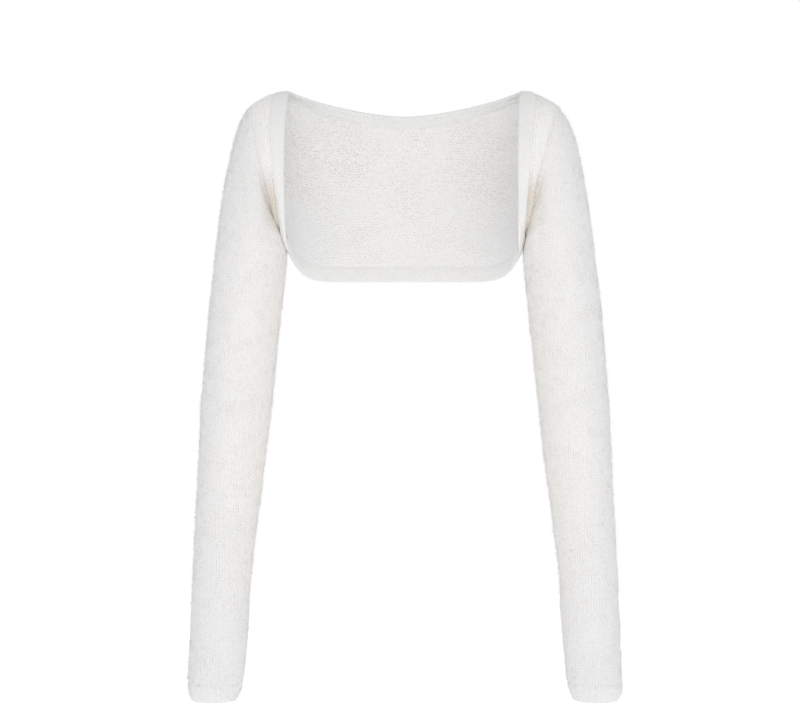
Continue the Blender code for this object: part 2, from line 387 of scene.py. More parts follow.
# How a kind of piece stands on the skin: how far it is raised, how far its middle is arched, over what
# width, in how many ridges side by side, how much painted shade its yarn takes on the outer sides, cool, and
# on the inner sides, warm, how much painted shade it takes where it is tucked away under the arm, and how
# tufted it is.
Stand = namedtuple(
    "Stand", "raised arch width ridges cooled tucked tufted", defaults=(0.0, 0.0, 1.0, 1, 0.0, 0.0, 0.0))
STANDS = {
    "back_panel": Stand(cooled=1.0),
    "front_panel": Stand(raised=0.4, tucked=1.0),
    "sleeve": Stand(cooled=1.0, tucked=0.65, tufted=1.0),
    "neck_band": Stand(0.1, 0.4, 14.0, 2, cooled=1.0),
    "hem_band": Stand(0.2, 0.6, 15.0, 1, cooled=0.5),
    "front_band": Stand(0.5, 0.8, 16.0, 1, cooled=0.3),
    "cuff": Stand(0.1, 0.3, 16.0, 1, cooled=1.0, tufted=1.0),
}

# Unevenness of the knit: size of the lumps and how far they stand out, in mm.
Lumps = namedtuple("Lumps", "size height seed")
KNIT_LUMPS = (Lumps(46.0, 0.8, 3.0), Lumps(14.0, 0.3, 11.0), Lumps(5.0, 0.2, 23.0))
BAND_LUMPS = (Lumps(40.0, 0.5, 5.0), Lumps(9.0, 0.3, 17.0))
TUFTS = (Lumps(3.4, 0.9, 31.0),)  # on the sides of the sleeves, where the nap is least worn

# Soft creases, from one end to the other as seen from in front, on the wearer's right and left.
Crease = namedtuple("Crease", "x z end_x end_z width depth")
CREASES = tuple(Crease(*row) for row in (
    (-148.5, -40, -138.6, -121, 3.2, 1.3),
    (-138.6, -121, -132, -156, 3, 1.1),
    (-166, -26, -164, -55, 4, 0.5),
    (-164, -55, -148.5, -121, 4, 0.6),
    (-220, -324, -190, -345, 7, 1.3),
    (-201, -343, -157, -332, 8, 1),
    (-162, -374, -187, -387, 6, 1),
    (-222, -231, -198, -244, 9, 0.9),
    (-148.5, -189, -176, -203, 8, 1.1),
    (-157, -264, -181.5, -273, 7, 0.8),
    (-230, -473, -209, -482, 8, 0.8),
    (-234, -605, -220, -621, 6, 0.9),
    (-143, -148.5, -162, -121, 6, 0.5),
    (-135, -165, -157, -156, 6, 0.5),
    (139.7, -40, 133.5, -121, 3.2, 1.3),
    (133.5, -121, 129, -158, 3, 1.1),
    (160.6, -24, 157.3, -50, 4, 0.5),
    (157.3, -50, 140, -118, 4, 0.6),
    (203.5, -368, 242, -369, 6, 1.4),
    (170.5, -335.5, 198, -328, 8, 1),
    (159.5, -385, 184, -394, 6, 1),
    (214.5, -231, 187, -244, 9, 0.9),
    (139.7, -189, 166, -204.5, 8, 1.1),
    (154, -280.5, 177, -288, 7, 0.8),
    (227.7, -484, 206, -495, 8, 0.8),
    (236.5, -605, 219, -618, 6, 0.9),
    (135.3, -152, 154, -125, 6, 0.4),
    (131, -168, 149.6, -157, 6, 0.5),
))
BACK_CREASES = (  # behind, the sleeves' creases lie lower, wider and shallower
    *(Crease(c.x, c.z - 16, c.end_x, c.end_z - 27, 1.2 * c.width, 0.9 * c.depth)
      for c in CREASES if abs(c.end_x) > 150),
    Crease(-118, -52, -62, -96, 13, 1),
    Crease(112, -48, 70, -108, 14, 0.9),
    Crease(-96, -186, -38, -158, 12, 0.8),
    Crease(92, -180, 24, -166, 11, 0.7),
    Crease(-130, -17, -127, -24, 5, 1.2),
)

CREASE_REACH = 45.0  # how far above or below itself a crease may still be felt
CREASE_WIDTHS = 3.5  # how many of its own widths it reaches to either side
CREASE_FACING = 1.6  # creases fade where the cloth turns to the side

# Where the cloth bunches under the arm, and how far round that it is tucked away from the light and takes
# painted shade.
Bunch = namedtuple("Bunch", "x z half_width half_height height")
ARMPIT = Bunch(135.0, -153.0, 8.0, 28.0, 2.4)
ARMPIT_DEPTH = 12.0
ARMPIT_SHADE = Bunch(139.0, -143.0, 16.0, 48.0, 1.0)
ARMPIT_SHADE_REACH = 11.0


def unevenness(point, lumps):
    return sum(lump.height * noise.noise(point / lump.size + Vector((lump.seed,) * 3)) for lump in lumps)


def crease_depth(point, normal):
    """How far the creases push the cloth in at a point: a soft trough with a low ridge on either side."""
    pushed = 0.0
    for crease in (CREASES if normal.y < 0.0 else BACK_CREASES):
        if abs(point.z - crease.z) > CREASE_REACH + abs(crease.end_z - crease.z):
            continue
        start = Vector((crease.x, crease.z))
        run = Vector((crease.end_x, crease.end_z)) - start
        away = Vector((point.x, point.z)) - start
        share = min(max(away.dot(run) / run.length_squared, 0.0), 1.0)
        off = (away - run * share).length / crease.width
        if off < CREASE_WIDTHS:
            pushed += crease.depth * (1.0 - 0.8 * off * off) * math.exp(-0.9 * off * off)
    return pushed * min(abs(normal.y) * CREASE_FACING, 1.0)


def bunching(point, bunch):
    """How far the cloth bunches at a point, on either side of the garment."""
    across = (abs(point.x) - bunch.x) / bunch.half_width
    along = (point.z - bunch.z) / bunch.half_height
    return bunch.height * math.exp(-(across ** 4) - along ** 4)


def armpit_fill(point):
    """How far the cloth bunches out where sleeve and front meet under the arm, in front and behind."""
    return bunching(point, ARMPIT) * min(abs(point.y) / ARMPIT_DEPTH, 1.0)


def open_seams(piece, normals, free):
    """Draws the edges of a piece back from its seams by half of the seam gap, square to the wall."""
    moves = {}
    for edge in piece.edges:
        if edge.is_boundary and not all(corner[free] for corner in edge.verts):
            along = (edge.verts[1].co - edge.verts[0].co).normalized()
            inward = edge.link_faces[0].calc_center_median() - edge.verts[0].co
            inward -= along * inward.dot(along)
            for corner in edge.verts:
                move = inward - corner[normals] * inward.dot(corner[normals])
                moves[corner] = moves.get(corner, Vector()) + move.normalized()
    for corner, inward in moves.items():
        corner.co += inward.normalized() * 0.5 * SEAM_GAP


def distances_to(piece, corners):
    """How far each corner of a piece lies from the nearest of these corners."""
    tree = kdtree.KDTree(len(corners))
    for index, corner in enumerate(corners):
        tree.insert(corner.co, index)
    tree.balance()
    return {corner: tree.find(corner.co)[2] if corners else math.inf for corner in piece.verts}


def edge_fall(distance, radius):
    """How far a wall's face falls away near a free edge, so that the edge is round."""
    out = 1.0 - min(distance / radius, 1.0)
    return radius * (1.0 - EDGE_KEPT) * (1.0 - math.sqrt(1.0 - out * out))


def seam_dip(distance):
    return SEAM_DIP * math.exp(-((distance / SEAM_REACH) ** 2))


def stand_height(stand, distance):
    """How far a piece stands out of the skin at a distance from its nearest edge."""
    share = min(distance / (0.5 * stand.width), 1.0)
    rise = min(distance / BLEND_REACH, 1.0)
    wave = abs(math.sin(0.5 * math.pi * stand.ridges * share))
    return stand.raised * rise * rise * (3.0 - 2.0 * rise) + stand.arch * wave


def piece_of_skin(name):
    """One piece cut out of the fine skin, with the skin's normals and free edges kept on its corners."""
    piece = bmesh.new()
    piece.from_mesh(fine_skin())
    normals = piece.verts.layers.float_vector.new("normal")
    free = piece.verts.layers.int.new("free")
    for corner in piece.verts:
        corner[normals] = corner.normal
        corner[free] = int(corner.is_boundary)
    marks = piece.faces.layers.int["piece"]
    tag = PIECE_NAMES.index(name)
    bmesh.ops.delete(piece, geom=[face for face in piece.faces if face[marks] != tag], context="FACES")
    return piece, normals, free


def sort_rim(piece, inner):
    """Puts the faces of a wall's rim in the same order each run, because solidify adds them in any order."""
    piece.verts.index_update()
    piece.faces.index_update()
    rim = [face for face in piece.faces if len({corner in inner for corner in face.verts}) == 2]
    places = sorted(face.index for face in rim)
    rim.sort(key=lambda face: sorted(corner.index for corner in face.verts))
    for place, face in zip(places, rim):
        face.index = place
    piece.faces.sort(key=lambda face: face.index)


def build_wall(name, wall):
    """Gives one piece its wall of cloth, round at free edges and uneven, and returns its object."""
    piece, normals, free = piece_of_skin(name)
    open_seams(piece, normals, free)
    lumps = BAND_LUMPS if is_band(name) else KNIT_LUMPS
    stand = STANDS[kind_of(name)]
    outer_layer = piece.verts.layers.float_vector.new("outer")
    inner_layer = piece.verts.layers.float_vector.new("inner")
    groove_shade_layer = piece.verts.layers.float.new("depth")
    side_shade_layer = piece.verts.layers.float.new("facing_out")
    armpit_shade_layer = piece.verts.layers.float.new("tucked")
    rim = [corner for corner in piece.verts if corner.is_boundary]
    to_free = distances_to(piece, [corner for corner in piece.verts if corner[free]])
    to_seam = distances_to(piece, [corner for corner in rim if not corner[free]])
    for corner in piece.verts:
        point, normal = corner.co, corner[normals]
        fall, dip = edge_fall(to_free[corner], 0.5 * wall), seam_dip(to_seam[corner])
        pushed = crease_depth(point, normal) - armpit_fill(point)
        nearest = min(to_free[corner], to_seam[corner])
        height = stand_height(stand, nearest)
        tufted = stand.tufted * (1.0 - abs(normal.y)) ** 2
        uneven = unevenness(point, lumps) + tufted * unevenness(point, TUFTS)
        shift = uneven * min(nearest / CALM_REACH, 1.0) - pushed
        corner[outer_layer] = point + normal * (shift + height - fall - dip)
        corner[inner_layer] = point + normal * (shift - height - wall + fall + 0.5 * dip)
        # How far creases and seam dips push the cloth in; the gaps show more painted shade there.
        corner[groove_shade_layer] = max(pushed, 0.0) + dip
        # Which way the cloth faces, out or in, for painted shade on the outer and inner sides.
        to_side = math.copysign(min(abs(point.x) / HALF_CHEST, 1.0), point.x)
        corner[side_shade_layer] = normal.x * to_side * stand.cooled
        # How far the cloth is tucked under the arm near its seams, for painted shade there.
        near_seam = math.exp(-((to_seam[corner] / ARMPIT_SHADE_REACH) ** 2))
        corner[armpit_shade_layer] = bunching(point, ARMPIT_SHADE) * stand.tucked * near_seam
    added = bmesh.ops.solidify(piece, geom=piece.faces[:], thickness=wall)["geom"]
    inner = {item for item in added if isinstance(item, bmesh.types.BMVert)}
    sort_rim(piece, inner)
    for corner in piece.verts:
        corner.co = corner[inner_layer if corner in inner else outer_layer] * MM
    for face in piece.faces:
        within = [corner in inner for corner in face.verts]
        face.material_index = int(all(within))
        face.smooth = True
        if any(within) and not all(within) and not all(corner[free] for corner in face.verts):
            for edge in face.edges:
                edge.smooth = (edge.verts[0] in inner) != (edge.verts[1] in inner)
    mesh = as_mesh(piece, name)
    for layer in ("normal", "outer", "inner", "piece", "free"):
        mesh.attributes.remove(mesh.attributes[layer])
    cloth = add_object("cloth_" + name, mesh)
    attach(cloth, "root")
    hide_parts(name)
    "edge_band" if is_band(name) else "fluffy_knit"
    return cloth


# ---- Nap: the short hairs that a brushed yarn stands up ----
NAP_SEED = 71
HAIR_ROOT_SINK = 0.2
HAIRS_IN_LOCK = 3
LOCK_SHARE = 0.12  # share of the hairs that stand in locks
LOCK_SPREAD = 0.7
LOCK_GATHERED = 0.4  # how far the tips of a lock are spread, beside its roots
LOCK_THICKNESS = 1.2  # of a hair in a lock, beside a single one
WORN_SHARE = 0.4  # of the nap that is left where the cloth is worn flat, in front and behind

# Hairs on each kind of piece, and how many of them stand on the outer face.
Nap = namedtuple("Nap", "hairs shortest longest outer_share")
NAPS = {
    "back_panel": Nap(14000, 0.8, 2.4, 0.75),
    "neck_band": Nap(1500, 0.6, 2.2, 0.8),
    "hem_band": Nap(1800, 0.6, 2.2, 0.8),
    "front_panel": Nap(800, 0.7, 2.4, 0.95),
    "front_band": Nap(700, 0.5, 1.6, 0.95),
    "sleeve": Nap(30000, 1.0, 4.2, 1.0),
    "cuff": Nap(1100, 0.9, 3.0, 0.96),
}


def unit(vectors):
    return vectors / np.linalg.norm(vectors, axis=1, keepdims=True)


def level(vectors, normals):
    """The part of these vectors that runs along the cloth."""
    return vectors - normals * np.sum(vectors * normals, axis=1, keepdims=True)


def read(items, name, width, kind=np.float64):
    """One property of all these items as an array, with this many values for each."""
    values = np.empty(len(items) * width, dtype=kind)
    items.foreach_get(name, values)
    return values.reshape(-1, width)


def wall_triangles(mesh, outer_share):
    """Corner points and normals of a wall's triangles, and the chance of a hair on each."""
    mesh.calc_loop_triangles()
    triangles = mesh.loop_triangles
    picked = read(triangles, "vertices", 3, np.int64)
    faces = read(triangles, "polygon_index", 1, np.int64)[:, 0]
    inside = read(mesh.polygons, "material_index", 1, np.int64)[:, 0]
    points = read(mesh.vertices, "co", 3)[picked]
    normals = read(mesh.vertices, "normal", 3)[picked]
    across = np.cross(points[:, 1] - points[:, 0], points[:, 2] - points[:, 0])
    areas = np.linalg.norm(across, axis=1)
    flatness = np.abs(across[:, 1]) / np.maximum(areas, 1e-12)
    within = inside[faces] == 1
    chance = areas * (1.0 - (1.0 - WORN_SHARE) * flatness)
    chance[within] *= (1.0 - outer_share) / max(chance[within].sum(), 1e-9)
    chance[~within] *= outer_share / max(chance[~within].sum(), 1e-9)
    return points, normals, chance / chance.sum()


def hair_lean(roots, normals, rng, lean):
    """Directions of the hairs: out of the cloth, leaning down in tufts that turn from place to place."""
    swirl = np.stack([
        np.sin(roots[:, 0] * 210.0 + 3.0 * np.sin(roots[:, 2] * 90.0)),
        np.cos(roots[:, 2] * 170.0 + roots[:, 0] * 60.0),
        np.sin(roots[:, 2] * 130.0 - roots[:, 0] * 150.0) - 0.9,
    ], axis=1)
    loose = rng.normal(0.0, 1.0, roots.shape)
    return unit(normals + lean * level(0.7 * swirl + 0.8 * loose, normals))


def points_on(points, normals, chance, count, rng):
    """Points spread over a wall, with the cloth's own direction out at each."""
    chosen = rng.choice(len(points), size=count, p=chance)
    spread = np.sort(rng.random((count, 2)), axis=1)
    weights = np.diff(spread, axis=1, prepend=0.0, append=1.0)[..., None]
    return np.sum(points[chosen] * weights, axis=1), unit(np.sum(normals[chosen] * weights, axis=1))


def level_spread(out, amount, rng):
    """Random steps of about this length along the cloth."""
    return level(rng.normal(0.0, amount, out.shape), out)


def hair_ends(nap, walls, count, settings, rng):
    """Roots and tips of hairs, some in locks, with the cloth's direction out and the thickness of each."""
    locks = max(round(count * LOCK_SHARE / HAIRS_IN_LOCK), 1)
    centres, out = points_on(*walls, locks, rng)
    direction = hair_lean(centres, out, rng, settings.lean)
    reach = nap.shortest + (nap.longest - nap.shortest) * (0.45 + 0.55 * rng.random(locks))
    tips = centres + direction * (reach * settings.length * MM)[:, None]
    owner = np.repeat(np.arange(locks), HAIRS_IN_LOCK)
    roots = centres[owner] + level_spread(out[owner], LOCK_SPREAD * MM, rng)
    shorter = 1.0 - 0.35 * rng.random(len(owner))[:, None]
    gathered = tips[owner] + level_spread(out[owner], LOCK_GATHERED * LOCK_SPREAD * MM, rng)
    lock_tips = roots + (gathered - roots) * shorter
    singles = max(count - len(owner), 1)
    single_roots, single_out = points_on(*walls, singles, rng)
    lengths = nap.shortest + (nap.longest - nap.shortest) * rng.random(singles) ** 2.0
    single_direction = hair_lean(single_roots, single_out, rng, 1.3 * settings.lean)
    single_tips = single_roots + single_direction * (lengths * settings.length * MM)[:, None]
    in_lock = (roots, lock_tips, out[owner], np.full((len(owner), 1), LOCK_THICKNESS))
    alone = (single_roots, single_tips, single_out, np.ones((singles, 1)))
    return [np.concatenate(pair) for pair in zip(in_lock, alone)]


def build_nap(cloth, name, settings):
    """Stands the hairs of one piece on its wall, all in one mesh of slim three-sided points."""
    nap = NAPS[kind_of(name)]
    rng = np.random.default_rng(PIECE_NAMES.index(name) + NAP_SEED)
    walls = wall_triangles(cloth.data, nap.outer_share)
    roots, tips, out, thickness = hair_ends(nap, walls, round(nap.hairs * settings.density), settings, rng)
    count = len(roots)
    direction = unit(tips - roots)
    first = unit(np.cross(direction, rng.normal(0.0, 1.0, direction.shape)))
    second = np.cross(direction, first)
    radius = 0.5 * settings.thickness * thickness * (0.7 + 0.6 * rng.random((count, 1)))
    base = roots - direction * HAIR_ROOT_SINK * MM
    ring = [base + radius * (math.cos(turn) * first + math.sin(turn) * second)
            for turn in (0.0, math.tau / 3.0, 2.0 * math.tau / 3.0)]
    mesh = bpy.data.meshes.new("nap_" + name)
    mesh.vertices.add(count * 4)
    mesh.vertices.foreach_set("co", np.stack(ring + [tips], axis=1).reshape(-1))
    mesh.loops.add(count * 9)
    corners = np.arange(count)[:, None] * 4 + np.array([0, 1, 3, 1, 2, 3, 2, 0, 3])
    mesh.loops.foreach_set("vertex_index", corners.reshape(-1))
    mesh.polygons.add(count * 3)
    mesh.polygons.foreach_set("loop_start", np.arange(count * 3) * 3)
    mesh.update(calc_edges=True)
    mesh.shade_smooth()
    mesh.normals_split_custom_set_from_vertices(np.repeat(out, 4, axis=0))
    mesh.materials.append(nap_material())
    hairs = add_object("nap_" + name, mesh)
    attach(hairs, "root")
    "edge_band" if is_band(name) else "fluffy_knit"
    return hairs


# ---- Materials ----
class Finish:
    """A material's node tree, with short ways to add to it."""

    def __init__(self, name, viewport_colour):
        self.material = bpy.data.materials.new(name)
        self.material.use_nodes = True
        self.material.diffuse_color = (*viewport_colour, 1.0)
        self.tree = self.material.node_tree
        self.shader = self.tree.nodes["Principled BSDF"]

    def node(self, kind, inputs=(), **settings):
        added = self.tree.nodes.new(kind)
        for setting, value in settings.items():
            setattr(added, setting, value)
        for socket, value in dict(inputs).items():
            self.feed(added.inputs[socket], value)
        return added

    def feed(self, socket, value):
        if isinstance(value, bpy.types.NodeSocket):
            self.tree.links.new(value, socket)
        else:
            socket.default_value = value

    def math(self, operation, *values, clamp=False):
        added = self.tree.nodes.new("ShaderNodeMath")
        added.operation, added.use_clamp = operation, clamp
        for socket, value in zip(added.inputs, values):
            self.feed(socket, value)
        return added.outputs[0]

    def times(self, value, factor, clamp=False):
        return self.math("MULTIPLY", value, factor, clamp=clamp)

    def plus(self, value, more, clamp=False):
        return self.math("ADD", value, more, clamp=clamp)

    def minus(self, value, less):
        return self.math("SUBTRACT", value, less)

    def ramp(self, value, low, high, to_low=0.0, to_high=1.0):
        """The value taken smoothly from one range to another."""
        inputs = {"Value": value, "From Min": low, "From Max": high, "To Min": to_low, "To Max": to_high}
        return self.node("ShaderNodeMapRange", inputs, interpolation_type="SMOOTHSTEP").outputs[0]

    def blend(self, share, start, end):
        mixed = self.node("ShaderNodeMix", data_type="RGBA")
        for index, value in ((0, share), (6, start), (7, end)):
            self.feed(mixed.inputs[index], value)
        return mixed.outputs[2]

    def noise(self, vector, scale, detail=2.0):
        inputs = {"Vector": vector, "Scale": scale, "Detail": detail}
        return self.node("ShaderNodeTexNoise", inputs).outputs["Fac"]

    def attribute(self, name):
        return self.node("ShaderNodeAttribute", attribute_name=name).outputs["Fac"]

    def place(self):
        return self.node("ShaderNodeTexCoord").outputs["Object"]

    def along(self, vector, axis):
        return self.node("ShaderNodeSeparateXYZ", {"Vector": vector}).outputs[axis]

    def surface(self, values):
        for socket, value in values.items():
            self.feed(self.shader.inputs[socket], value)


# How the stitches of a face are set: their width and height beside the settings' wale and course, how far
# they wander in metres, half the width and height of a gap in stitches, how few gaps are strong, the seed
# of their luck, and the fineness and height of the fuzz on them.
Stitch = namedtuple(
    "Stitch", "wale course wander half_width half_height shyness seed fuzz_scale fuzz_height")
KNIT_STITCH = Stitch(1.0, 1.0, 0.0011, 0.24, 0.40, 0.7, 1.0, 650.0, 0.9)
PURL_STITCH = Stitch(1.05, 1.0, 0.0026, 0.29, 0.29, 0.8, 4.0, 620.0, 0.9)
BAND_STITCH = Stitch(0.85, 0.8, 0.0012, 0.24, 0.36, 1.5, 8.0, 700.0, 1.0)
RELIEF = 0.0003  # height of the stitches, in metres


def knit_grid(finish, stitch):
    """The run of the knit, and its stitch columns and rows counted along it, a little uneven."""
    knit = bpy.context.scene.bolero_knit
    run = finish.node("ShaderNodeUVMap", uv_map="knit").outputs["UV"]
    drift = finish.node("ShaderNodeTexNoise", {"Vector": run, "Scale": 45.0, "Detail": 3.0})
    drifts = finish.node("ShaderNodeSeparateColor", {"Color": drift.outputs["Color"]}).outputs
    counts = []
    for axis, size, wander in (
            (0, stitch.wale * knit.wale, stitch.wander),
            (1, stitch.course * knit.course, 1.5 * stitch.wander)):
        moved = finish.minus(drifts[axis], 0.5)
        place = finish.math("MULTIPLY_ADD", moved, wander, finish.along(run, axis))
        counts.append(finish.math("DIVIDE", place, size))
    return (run, *counts)


def stitch_gaps(finish, columns, rows, stitch):
    """Small openings between stitches, each moved and weakened by chance: 1 in the middle of a gap."""
    spot = {0: finish.math("FLOOR", columns), 1: finish.math("FLOOR", rows), 2: stitch.seed}
    cell = finish.node("ShaderNodeCombineXYZ", spot).outputs[0]
    luck = finish.node("ShaderNodeTexWhiteNoise", {"Vector": cell}).outputs
    chances = finish.node("ShaderNodeSeparateColor", {"Color": luck["Color"]}).outputs
    offs = []
    for count, chance, half in (
            (columns, chances[0], stitch.half_width), (rows, chances[1], stitch.half_height)):
        moved = finish.minus(chance, 0.5)
        moved = finish.math("MULTIPLY_ADD", moved, 0.5, finish.math("FRACT", count))
        off = finish.math("DIVIDE", finish.minus(moved, 0.5), half)
        offs.append(finish.math("POWER", off, 2.0))
    gap = finish.ramp(finish.plus(*offs), 1.0, 0.15)
    return finish.times(gap, finish.math("POWER", luck["Value"], stitch.shyness))


def off_line(finish, count):
    """How far a place is from the middle of its column or row: 0 there, 1 at its edge."""
    return finish.times(finish.math("PINGPONG", finish.plus(count, 0.5), 0.5), 2.0)


def region_strength(finish, run, low, scale):
    """How open the knit is from place to place: more in random patches, and along seams and creases, where
    the extra gaps are painted shade in those grooves.
    """
    patchy = finish.ramp(finish.noise(run, scale, 3.0), 0.36, 0.64, low, 1.0)
    return finish.plus(patchy, finish.times(finish.attribute("depth"), 0.5), clamp=True)


def toned_yarn(finish, run, light):
    """The yarn's colour: in soft patches, with painted shade cool on the outer sides and warm on the inner
    ones, cooler low down, with pale flecks, and with painted shade under the arms.
    """
    knit = bpy.context.scene.bolero_knit
    place, shade_facing = finish.place(), finish.attribute("facing_out")
    fleck = finish.ramp(finish.noise(run, 520.0), 0.3, 0.7)
    yarn = four(light)
    for share, tone in (
            (finish.ramp(finish.noise(place, 11.0, 3.0), 0.32, 0.68), knit.yarn_shade),
            # Painted shade: cool on the outer sides, warm on the inner sides, by which way the cloth faces.
            (finish.ramp(shade_facing, 0.1, 1.0, 0.0, 0.8), knit.yarn_cool_and_painted_shade),
            (finish.ramp(shade_facing, -0.1, -1.0, 0.0, 0.7), knit.warm_painted_shade),
            # Cooler towards the bottom.
            (finish.ramp(finish.along(place, 2), -0.67, -0.4, 0.8, 0.0), knit.yarn_cool_and_painted_shade),
            (finish.times(fleck, 0.35), knit.pale_yarn_and_painted_light),
            (finish.attribute("tucked"), knit.yarn_tucked)):
        # Painted shade under the arms.
        yarn = finish.blend(share, yarn, four(tone))
    return yarn


def finish_cloth(finish, run, stitch, colour, height, sheen):
    """Joins colour and relief to the shader of a matt, brushed cloth, with fuzz on the relief."""
    fuzz = finish.times(finish.noise(run, stitch.fuzz_scale), stitch.fuzz_height)
    height = finish.plus(height, fuzz)
    bump = finish.node("ShaderNodeBump", {"Height": height, "Strength": 1.0, "Distance": RELIEF})
    finish.surface({
        "Base Color": colour, "Normal": bump.outputs[0], "Roughness": 0.95, "Specular IOR Level": 0.2,
        "Sheen Weight": sheen, "Sheen Roughness": 0.6})
    return finish.material


def four(colour):
    return (*colour, 1.0)


@functools.cache
def knit_face_material(name, yarn_colour):
    """The outer, knit side: columns of slanted stitches, with broken gaps between the columns, coloured with
    painted shade.
    """
    knit = bpy.context.scene.bolero_knit
    finish = Finish(name, yarn_colour)
    run, columns, rows = knit_grid(finish, KNIT_STITCH)
    beside = off_line(finish, columns)
    body = finish.ramp(beside, 0.0, 0.5)
    slant = finish.plus(rows, finish.times(beside, 0.7))
    leg = finish.math("SINE", finish.times(finish.math("FRACT", slant), math.pi))
    lines = finish.times(finish.minus(1.0, body), 0.12)
    gap = finish.math("MAXIMUM", stitch_gaps(finish, columns, rows, KNIT_STITCH), lines)
    gap = finish.times(gap, region_strength(finish, run, 0.65, 24.0))
    # Under the arms the gaps show more: more painted shade there.
    strength = finish.math("MULTIPLY_ADD", finish.attribute("tucked"), 0.5, knit.gap_strength)
    share = finish.times(gap, strength, clamp=True)
    # The gaps take the colour of painted shade, the darker inside seen between the stitches.
    colour = finish.blend(share, toned_yarn(finish, run, yarn_colour), four(knit.gap_painted_shade))
    height = finish.math("MULTIPLY_ADD", leg, 0.2, finish.times(body, 0.5))
    height = finish.minus(height, finish.times(gap, 0.4))
    return finish_cloth(finish, run, KNIT_STITCH, colour, height, 0.25)


@functools.cache
def purl_face_material():
    """The inner, purl side: small bars in rows, with scattered dots of painted shade that are stronger high
    up.
    """
    knit = bpy.context.scene.bolero_knit
    finish = Finish("brushed_purl_face", knit.yarn_colour)
    run, columns, rows = knit_grid(finish, PURL_STITCH)
    shifted = finish.math("MULTIPLY_ADD", finish.math("FLOOR", rows), 0.37, columns)
    dots = stitch_gaps(finish, shifted, rows, PURL_STITCH)
    dots = finish.times(dots, region_strength(finish, run, 0.5, 20.0))
    high = finish.ramp(finish.along(finish.place(), 2), -0.2, -0.07, 0.6, 1.0)
    dots = finish.times(dots, high)
    yarn = toned_yarn(finish, run, knit.yarn_colour)
    colour = finish.blend(finish.times(dots, knit.dot_strength), yarn, four(knit.gap_painted_shade))
    height = finish.math("MULTIPLY_ADD", off_line(finish, rows), 0.35, finish.times(dots, -1.0))
    return finish_cloth(finish, run, PURL_STITCH, colour, height, 0.25)


@functools.cache
def band_material(openness, open_from):
    """The edge bands: a closer, flatter knit with fine upright stitches and more or fewer gaps, coloured
    with painted shade.

    The gaps start at a height above the lower edge of a band."""
    knit = bpy.context.scene.bolero_knit
    finish = Finish(f"edge_knit_{round(100 * openness)}", knit.band_colour)
    run, columns, rows = knit_grid(finish, BAND_STITCH)
    body = finish.ramp(off_line(finish, columns), 0.0, 0.5)
    gap = stitch_gaps(finish, columns, rows, BAND_STITCH)
    gap = finish.times(gap, region_strength(finish, run, 0.4, 40.0))
    opened = finish.ramp(finish.along(run, 1), open_from - 0.001, open_from + 0.001, 0.0, openness)
    yarn = toned_yarn(finish, run, knit.band_colour)
    # The gaps take the colour of painted shade.
    colour = finish.blend(finish.times(gap, opened), yarn, four(knit.gap_painted_shade))
    height = finish.math("MULTIPLY_ADD", body, 0.7, finish.times(gap, -0.4))
    return finish_cloth(finish, run, BAND_STITCH, colour, height, 0.2)


@functools.cache
def nap_material():
    """Single hairs of the yarn, a touch lighter than the cloth and uneven from tuft to tuft. They glow
    faintly: painted light that lifts the shade among them.
    """
    knit = bpy.context.scene.bolero_knit
    finish = Finish("yarn_nap", knit.pale_yarn_and_painted_light)
    tuft = finish.ramp(finish.noise(finish.place(), 240.0), 0.3, 0.7)
    finish.surface({
        "Base Color": finish.blend(tuft, four(knit.pale_yarn_and_painted_light), four(knit.yarn_colour)), "Roughness": 1.0,
        "Specular IOR Level": 0.1, "Sheen Weight": 0.3, "Emission Color": four(knit.pale_yarn_and_painted_light),
        "Emission Strength": 0.11})
    return finish.material


# ---- Settings ----
def colour_setting(name, description, default):
    return bpy.props.FloatVectorProperty(
        name=name, description=description, default=default, subtype="COLOR", size=3, min=0.0, max=1.0)


def length_setting(name, description, default):
    return bpy.props.FloatProperty(
        name=name, description=description, default=default, unit="LENGTH", subtype="DISTANCE", min=0.0,
        precision=5)


def share_setting(name, description, default, highest=1.0):
    return bpy.props.FloatProperty(
        name=name, description=description, default=default, subtype="FACTOR", min=0.0, max=highest)


class BoleroKnitSettings(bpy.types.PropertyGroup):
    """Sizes and colours of the cloth."""

    knit_wall: length_setting("Knit Thickness", "Thickness of the brushed knit", 0.0024)
    wale: length_setting("Wale", "Width of one column of stitches", 0.0029)
    course: length_setting("Course", "Height of one row of stitches", 0.0030)
    # How much of the gaps' painted shade shows.
    gap_strength: share_setting("Gap Strength", "How much the gaps between stitch columns show", 0.5)
    dot_strength: share_setting("Dot Strength", "How much the dots of the purl side show", 0.74)
    yarn_colour: colour_setting("Yarn", "Colour of the brushed yarn", (0.862, 0.855, 0.847))
    yarn_shade: colour_setting("Yarn Shade", "Colour of the yarn where nap is thin", (0.841, 0.838, 0.834))
    # Painted shade on the outer sides, and the cooler tone towards the bottom.
    yarn_cool_and_painted_shade: colour_setting("Cool Yarn", "Colour of the yarn on the outer sides", (0.80, 0.805, 0.83))
    # Painted shade on the inner sides.
    warm_painted_shade: colour_setting("Warm Yarn", "Colour of the yarn on the inner sides", (0.87, 0.84, 0.805))
    # Also the colour of the nap's faint glow and of the front panels' yarn, both painted light.
    pale_yarn_and_painted_light: colour_setting("Nap", "Colour of the yarn's nap", (0.93, 0.925, 0.918))
    # Painted shade of the darker inside, seen down between the stitches.
    gap_painted_shade: colour_setting("Gap", "Colour seen down between the stitches", (0.54, 0.385, 0.265))
    band_colour: colour_setting("Band", "Colour of the edge bands", (0.83, 0.825, 0.822))
    # Painted shade under the arms.
    yarn_tucked: colour_setting("Tucked Yarn", "Colour of the yarn under the arms", (0.665, 0.62, 0.55))


